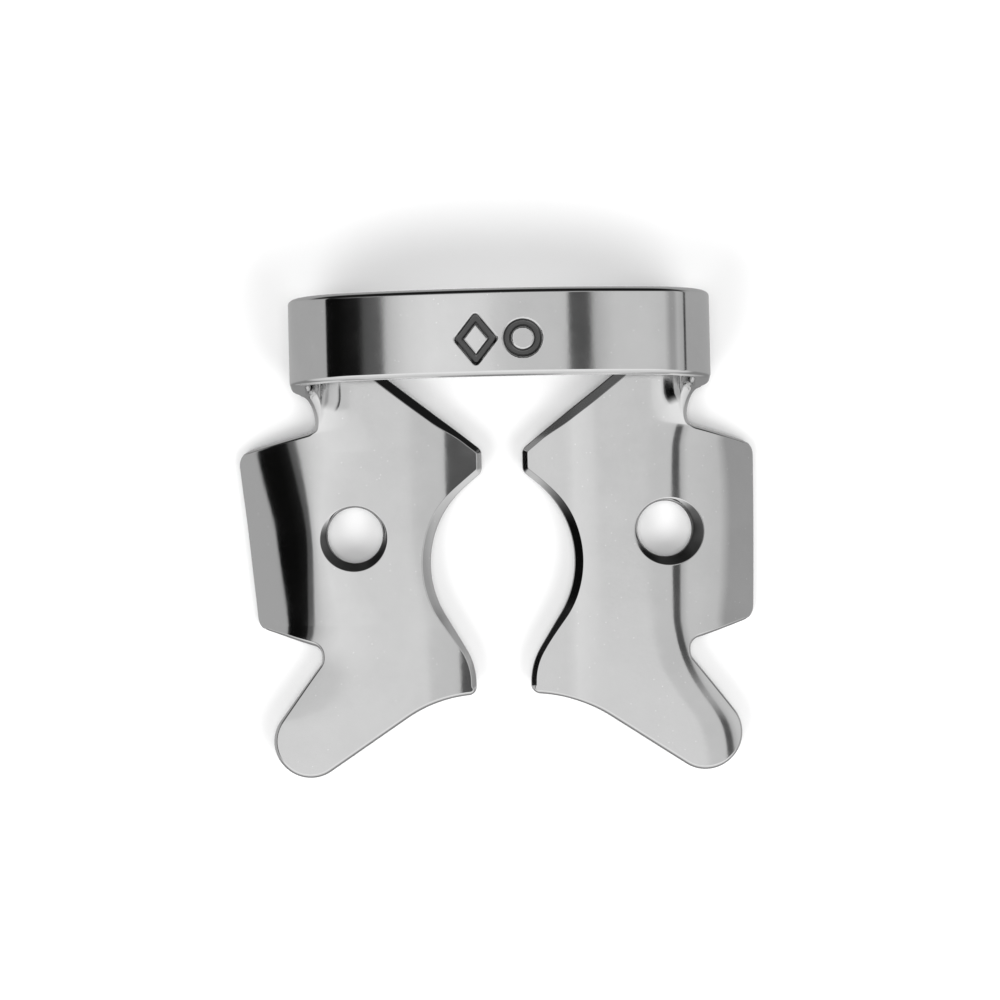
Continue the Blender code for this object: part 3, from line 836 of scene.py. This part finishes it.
# Brightness of the studio, as shown greys from 0 to 255 on the steel, by the angle in degrees
# from straight overhead: towards the clamp's right (plus) and left (minus)
ACROSS = [(-72, 160), (-67.6, 160), (-67, 10), (-48, 10), (-35.9, 20), (-35.3, 76), (-30.1, 88),
          (-29.5, 176), (-24, 202), (-18, 213), (-8, 209), (-1, 205), (1, 190), (5, 188),
          (17.5, 188), (18.1, 74), (23.6, 74), (24.2, 166), (30, 190), (37, 190), (56, 184),
          (65, 148), (71, 148), (77, 172), (87, 160), (88, 60), (91, 60), (92, 156), (94, 156)]
# and towards its distal (plus) and mesial (minus) side
ALONG = [(-130, 125), (-112, 196), (-62, 214), (-50, 226), (-18, 220), (-5, 212), (-1.5, 207),
         (1, 194), (12, 190), (26, 184), (30, 84), (44, 84), (50, 24), (108, 24),
         (118, 130), (130, 150)]
ALONG_FROM = 0.05           # the light turns from ACROSS to ALONG between these shares of the
ALONG_TO = 0.45             # direction's squared sideways part that point along Y
OVERHEAD_FLOOR = 1e-5       # keeps that share from dividing by nothing straight overhead

# From a shown grey to light, by the sRGB curve
GREY_MAX = 255
SRGB_OFFSET = 0.055
SRGB_SCALE = 1.055
SRGB_POWER = 2.4
STEEL_MIRRORS = 0.76        # share of the light that the steel mirrors


def shown_to_light(grey):
    """The light that shows as this grey on the steel."""
    return ((grey / GREY_MAX + SRGB_OFFSET) / SRGB_SCALE) ** SRGB_POWER / STEEL_MIRRORS


def ramp(tree, angle, stops):
    """Brightness by angle, straight between the stops and level beyond them."""
    first, last = stops[0][0], stops[-1][0]
    turn = node(tree, "ShaderNodeMapRange",
                ranges((math.radians(first), math.radians(last)), (0.0, 1.0)))
    tree.links.new(angle, turn.inputs["Value"])
    made = node(tree, "ShaderNodeValToRGB")
    elements = made.color_ramp.elements
    for i, (degrees, grey) in enumerate(stops):
        place = (degrees - first) / (last - first)
        element = elements[i] if i < 2 else elements.new(place)
        element.position = place
        light = shown_to_light(grey)
        element.color = (light, light, light, 1)
    tree.links.new(turn.outputs["Result"], made.inputs["Fac"])
    return made.outputs["Color"]


def studio_world():
    """The light that comes from each direction."""
    world = bpy.data.worlds.new("studio")
    bpy.context.scene.world = world
    world.use_nodes = True
    tree = world.node_tree
    link = tree.links.new
    split = node(tree, "ShaderNodeSeparateXYZ")
    link(node(tree, "ShaderNodeTexCoord").outputs["Generated"], split.inputs[0])
    x, y, z = split.outputs
    angles = []
    for side in (x, y):
        angle = node(tree, "ShaderNodeMath", operation="ARCTAN2")
        link(side, angle.inputs[0])
        link(z, angle.inputs[1])
        angles.append(angle.outputs["Value"])
    squares = []
    for side in (x, y):
        square = node(tree, "ShaderNodeMath", operation="MULTIPLY")
        link(side, square.inputs[0])
        link(side, square.inputs[1])
        squares.append(square.outputs["Value"])
    total = node(tree, "ShaderNodeMath", operation="ADD")
    link(squares[0], total.inputs[0])
    link(squares[1], total.inputs[1])
    floored = node(tree, "ShaderNodeMath", {1: OVERHEAD_FLOOR}, operation="ADD")
    link(total.outputs["Value"], floored.inputs[0])
    share = node(tree, "ShaderNodeMath", operation="DIVIDE")
    link(squares[1], share.inputs[0])
    link(floored.outputs["Value"], share.inputs[1])
    soft = node(tree, "ShaderNodeMapRange", ranges((ALONG_FROM, ALONG_TO), (0.0, 1.0)),
                interpolation_type="SMOOTHSTEP")
    link(share.outputs["Value"], soft.inputs["Value"])
    mix = node(tree, "ShaderNodeMix", data_type="RGBA")
    link(soft.outputs["Result"], mix.inputs["Factor"])
    link(ramp(tree, angles[0], ACROSS), mix.inputs["A"])
    link(ramp(tree, angles[1], ALONG), mix.inputs["B"])
    link(mix.outputs["Result"], tree.nodes["Background"].inputs["Color"])


def backdrop():
    """A pale dome behind everything, which only the camera sees."""
    bpy.ops.mesh.primitive_uv_sphere_add(segments=BACKDROP_SEGMENTS, ring_count=BACKDROP_RINGS,
                                         radius=BACKDROP_RADIUS)
    dome = bpy.context.object
    dome.name = "backdrop"
    material = bpy.data.materials.new("pale_backdrop")
    material.use_nodes = True
    tree = material.node_tree
    shader = tree.nodes["Principled BSDF"]
    shader.inputs["Base Color"].default_value = (0, 0, 0, 1)
    shader.inputs["Specular IOR Level"].default_value = 0
    noise = node(tree, "ShaderNodeTexNoise", {"Scale": BACKDROP_NOISE_SCALE})
    tree.links.new(node(tree, "ShaderNodeTexCoord").outputs["Object"], noise.inputs["Vector"])
    tone = node(tree, "ShaderNodeMapRange", ranges((0.0, 1.0), BACKDROP_TONE))
    tree.links.new(noise.outputs["Fac"], tone.inputs["Value"])
    tree.links.new(tone.outputs["Result"], shader.inputs["Emission Strength"])
    dome.data.materials.append(material)
    for ray in ("diffuse", "glossy", "transmission", "volume_scatter", "shadow"):
        setattr(dome, f"visible_{ray}", False)


def stage_plane(name, radius, height, material):
    """A round flat piece of the stage."""
    bpy.ops.mesh.primitive_circle_add(vertices=FLOOR_SIDES, radius=radius, fill_type="NGON",
                                      location=(0, 0, height))
    plane = bpy.context.object
    plane.name = name
    plane.data.materials.append(material)
    return plane


def soft_light(name, tilt, turn, spread_angle, strength):
    """A broad soft light from far away that the steel doesn't mirror."""
    light = bpy.data.lights.new(name, "SUN")
    light.energy = strength
    light.angle = spread_angle
    lamp = bpy.data.objects.new(name, light)
    lamp.rotation_euler = (tilt, 0, turn)
    lamp.visible_glossy = False
    bpy.context.scene.collection.objects.link(lamp)


def camera(move):
    """Looks straight down on the jaws, a little turned."""
    data = bpy.data.cameras.new("camera")
    data.sensor_width = SENSOR
    data.lens = SENSOR * VIEW_DISTANCE / VIEW_WIDTH
    data.clip_start = CAMERA_NEAR
    eye = bpy.data.objects.new("camera", data)
    eye.location = (VIEW_X + move[0], VIEW_Y + move[1], VIEW_DISTANCE + move[2])
    eye.rotation_euler = (0, 0, VIEW_ROLL)
    bpy.context.scene.collection.objects.link(eye)
    bpy.context.scene.camera = eye


def main():
    piece, move = clamp_object()
    piece.data.materials.append(polished_steel())
    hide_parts("clamp")
    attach(piece, "root")
    lowest = min(vertex.co.z for vertex in piece.data.vertices)
    floor = stage_plane("floor", FLOOR_RADIUS, lowest, floor_material())
    floor.visible_glossy = False
    backdrop()
    studio_world()
    for settings in SOFT_LIGHTS:
        soft_light(*settings)
    camera(move)
    bpy.context.scene.view_settings.view_transform = "Standard"


main()
